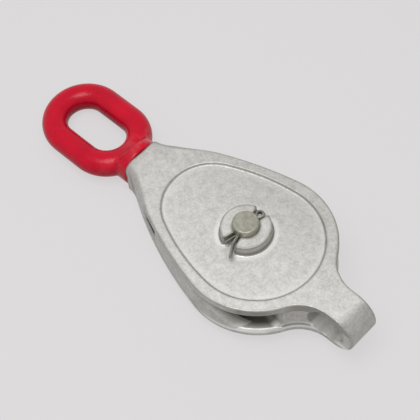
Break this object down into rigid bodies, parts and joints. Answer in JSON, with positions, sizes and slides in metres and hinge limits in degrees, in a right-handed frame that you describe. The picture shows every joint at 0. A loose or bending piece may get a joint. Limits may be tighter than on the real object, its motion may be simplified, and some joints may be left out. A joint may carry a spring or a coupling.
{
  "type": "single sheave pulley block",
  "caption": "Pear-shaped cast pulley block with a grooved sheave on a pinned axle, a becket hole at its tail and a swivelling oval eye.",
  "frame": {"origin": "where the axle's axis meets the flat of the axle's head, the face that the block lies on", "axes": "+Z along the axle from its head to its pinned end, +X from the eye to the becket, +Y across the block"},
  "size_m": [0.2784, 0.1024, 0.0484],
  "materials": {
    "galvanised_casting": "hot-dip galvanised, satin, light grey",
    "galvanised_sheave": "hot-dip galvanised, satin",
    "axle_steel": "plated steel, dulled",
    "zinc_plated_steel": "zinc plated",
    "bronze": "turned bearing bronze",
    "red_paint": "satin red paint over forged steel"
  },
  "bodies": {
    "block": {"shell_casting": "galvanised_casting", "axle_pin": "axle_steel", "axle_split_pin": "zinc_plated_steel"},
    "sheave": {"sheave": "galvanised_sheave", "sheave_bush": "bronze"},
    "front_side_washer": {"sheave_washer_front": "zinc_plated_steel"},
    "rear_side_washer": {"sheave_washer_rear": "zinc_plated_steel"},
    "swivel_eye": {"swivel_eye": "red_paint"},
    "swivel_washer": {"swivel_washer": "zinc_plated_steel"}
  },
  "joints": [
    {"name": "sheave_spin", "type": "hinge", "parent": "block", "child": "sheave", "pos_m": [0, 0, 0.021], "axis": [0, 0, 1], "continuous": true},
    {"name": "front_washer_spin", "type": "hinge", "parent": "block", "child": "front_side_washer", "pos_m": [0, 0, 0.02915], "axis": [0, 0, 1], "continuous": true},
    {"name": "rear_washer_spin", "type": "hinge", "parent": "block", "child": "rear_side_washer", "pos_m": [0, 0, 0.01285], "axis": [0, 0, 1], "continuous": true},
    {"name": "eye_swivel", "type": "hinge", "parent": "block", "child": "swivel_eye", "pos_m": [-0.0835, 0, 0.021], "axis": [1, 0, 0], "continuous": true},
    {"name": "swivel_washer_spin", "type": "hinge", "parent": "block", "child": "swivel_washer", "pos_m": [-0.065, 0, 0.021], "axis": [1, 0, 0], "continuous": true}
  ]
}
